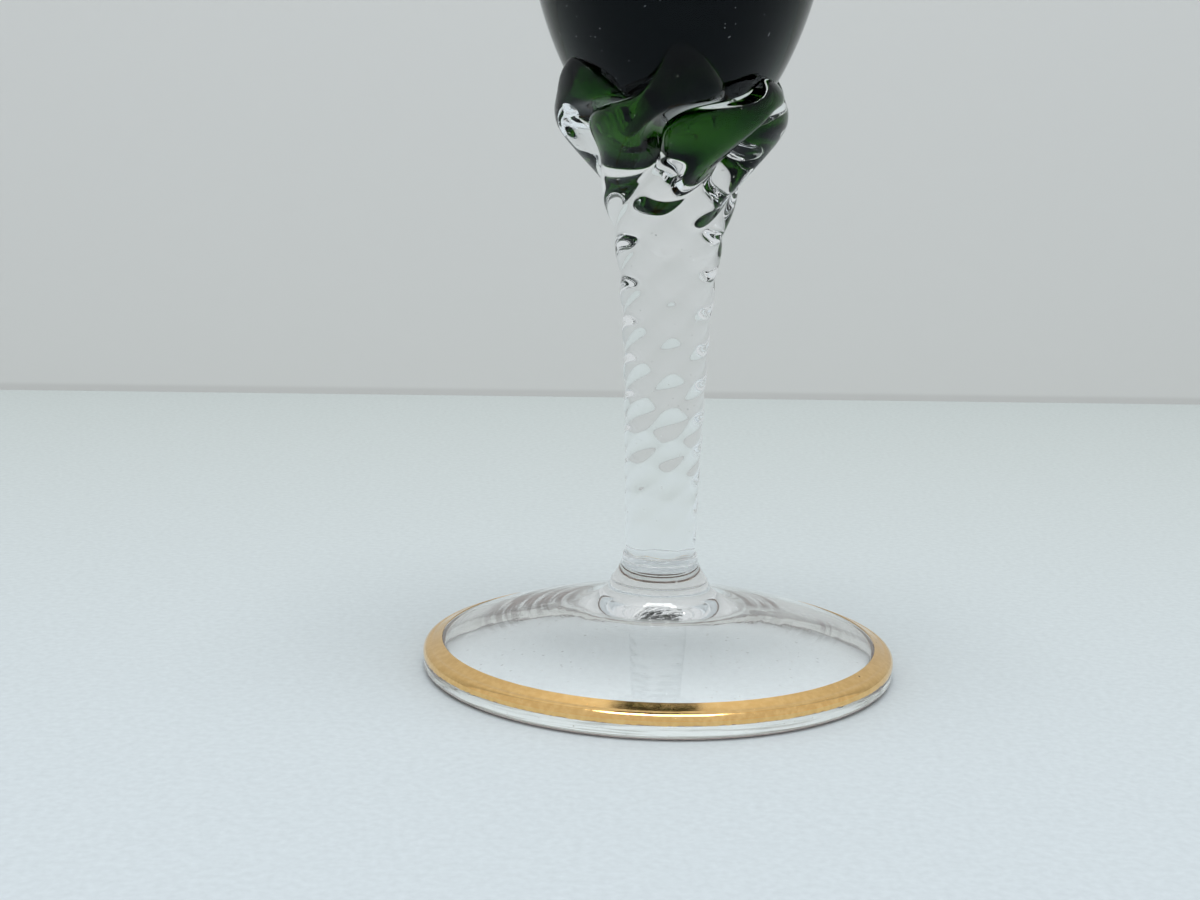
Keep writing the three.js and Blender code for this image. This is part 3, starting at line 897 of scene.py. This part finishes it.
def build_glass():
    """The seven pieces, the glass from the ground up and then the two films of gold."""
    clear, joint, gold = stem_glass(), clear_joint(), gilt()

    foot = foot_piece()
    mark(foot, JOINT_SLOT, lambda radius, z: z > COLLAR_LOW - NEAR)
    mark(foot, GILT_BACK_SLOT, lambda radius, z: (radius > FOOT_RADIUS - GILT_WIDTH) & (z > GILT_LOW))
    mark(foot, SIDE_SLOT, lambda radius, z: (radius > HOLLOW_RADIUS) & (z < GILT_LOW))
    foot_clear = foot_glass("foot_glass", top_colour_and_reflection)
    side_clear = foot_glass("side_glass", side_colour_and_shadow, SIDE_STREAKS)
    finish_piece(foot, "foot", "clear_glass", foot_clear, joint, gilt_back(), side_clear)

    collar = collar_piece()
    mark(collar, JOINT_SLOT, lambda radius, z: (z > COLLAR_TOP - NEAR) | (z < COLLAR_LOW + NEAR))
    finish_piece(collar, "collar", "clear_glass", foot_glass("collar_glass", CLEAR_TINT), joint)

    stem = stem_piece()
    mark(stem, JOINT_SLOT, lambda radius, z: (z > STEM_TOP - NEAR) | (z < COLLAR_TOP + NEAR))
    finish_piece(stem, "stem", "clear_glass", clear, joint)

    calyx = calyx_piece()
    mark(calyx, JOINT_SLOT, lambda radius, z: (z < STEM_TOP + NEAR) | (radius < cup_radius(z) + CUP_SKIN))
    finish_piece(calyx, "calyx", "clear_glass", clear, joint)

    inside = green_glass("green_glass", inside_painted_shade)
    outside = green_glass("dark_glass", DARK_GREEN, DARK_DUST)
    finish_piece(bowl_piece(), "bowl", "green_glass", inside, green_joint(), outside)

    finish_piece(film("foot_gilding", gilt_path()), "foot_gilt_band", "gilt", gold)
    finish_piece(film("lip_gilding", lip_path()), "lip_gilt_band", "gilt", gold)


def stage_face(name, corners, material):
    """A flat four-sided part of the stage."""
    mesh = bpy.data.meshes.new(name)
    mesh.from_pydata(corners, [], [(0, 1, 2, 3)])
    mesh.materials.append(material)
    piece = bpy.data.objects.new(name, mesh)
    bpy.context.scene.collection.objects.link(piece)


def pale_floor():
    """Matt paper with a fine grain, with painted light that makes it a little brighter and bluer in front
    than behind the glass.
    """
    n = Nodes("pale_floor")
    colour = n.blend(n.step(n.parts()["Y"], *FLOOR_LIGHT_CHANGES), FLOOR_PAINTED_LIGHT_FRONT, FLOOR_PAINTED_SHADE_BACK)
    grain = n.noise(n.place(), scale=900.0, detail=2.0)
    value = n.math("ADD", 1 - GRAIN_DEPTH / 2, n.math("MULTIPLY", grain, GRAIN_DEPTH))
    grained = n.add("ShaderNodeHueSaturation", {"Color": colour, "Value": value})
    n.surface(n.principled(Base_Color=grained.outputs["Color"], Roughness=PAPER_ROUGH))
    return n.material


def pale_backdrop():
    """Matt paper, a little darker at its foot by painted shade where it meets the floor. It is seen from the
    front alone.
    """
    n = Nodes("pale_backdrop")
    colour = n.blend(n.step(n.parts()["Z"], *BACKDROP_SHADE_HEIGHTS), BACKDROP, BACKDROP_PAINTED_SHADE)
    paper = n.principled(Base_Color=colour, Roughness=PAPER_ROUGH)
    behind = n.add("ShaderNodeNewGeometry").outputs["Backfacing"]
    n.surface(n.mix(behind, paper, n.transparent()))
    return n.material


def build_stage():
    """The floor, a backdrop that is turned a little about the upright, and the light on them."""
    reach, low = FLOOR_REACH, -FLOOR_DROP
    floor = [(-reach, -reach, low), (reach, -reach, low), (reach, reach, low), (-reach, reach, low)]
    stage_face("floor", floor, pale_floor())
    wide, tall = BACKDROP_HALF_WIDTH, BACKDROP_TOP
    left, right = BACKDROP_DISTANCE - wide * BACKDROP_TURN, BACKDROP_DISTANCE + wide * BACKDROP_TURN
    backdrop = [(-wide, left, low), (wide, right, low), (wide, right, tall), (-wide, left, tall)]
    stage_face("backdrop", backdrop, pale_backdrop())

    world = bpy.data.worlds.new("studio")
    bpy.context.scene.world = world
    world.use_nodes = True
    background = world.node_tree.nodes["Background"]
    background.inputs["Color"].default_value = (*STUDIO_COLOUR, 1)
    background.inputs["Strength"].default_value = STUDIO_STRENGTH

    light = bpy.data.lights.new("soft_box", "AREA")
    light.shape = "RECTANGLE"
    light.size, light.size_y = LAMP_SIZE
    light.energy = LAMP_ENERGY
    lamp = bpy.data.objects.new("soft_box", light)
    lamp.location = LAMP_PLACE
    lamp.rotation_euler = np.radians(LAMP_TILT)
    bpy.context.scene.collection.objects.link(lamp)


def build_camera():
    """The camera's axes: forward from yaw and pitch, then right and up turned by the roll."""
    sin, cos = math.sin, math.cos
    yaw, pitch, roll = CAMERA_YAW, CAMERA_PITCH, CAMERA_ROLL
    forward = np.array([sin(yaw) * cos(pitch), cos(yaw) * cos(pitch), -sin(pitch)])
    level = np.array([cos(yaw), -sin(yaw), 0])
    upright = np.cross(level, forward)
    right = cos(roll) * level + sin(roll) * upright
    up = cos(roll) * upright - sin(roll) * level
    data = bpy.data.cameras.new("camera")
    data.lens, data.sensor_width = CAMERA_LENS, SENSOR_WIDTH
    data.clip_start, data.clip_end = CLIP_NEAR, CLIP_FAR
    camera = bpy.data.objects.new("camera", data)
    matrix = Matrix.Identity(4)
    for row in range(3):
        matrix[row] = (right[row], up[row], -forward[row], CAMERA_PLACE[row])
    camera.matrix_world = matrix
    bpy.context.scene.collection.objects.link(camera)
    bpy.context.scene.camera = camera


build_camera()
build_glass()
build_stage()
bpy.context.scene.view_settings.view_transform = "Standard"
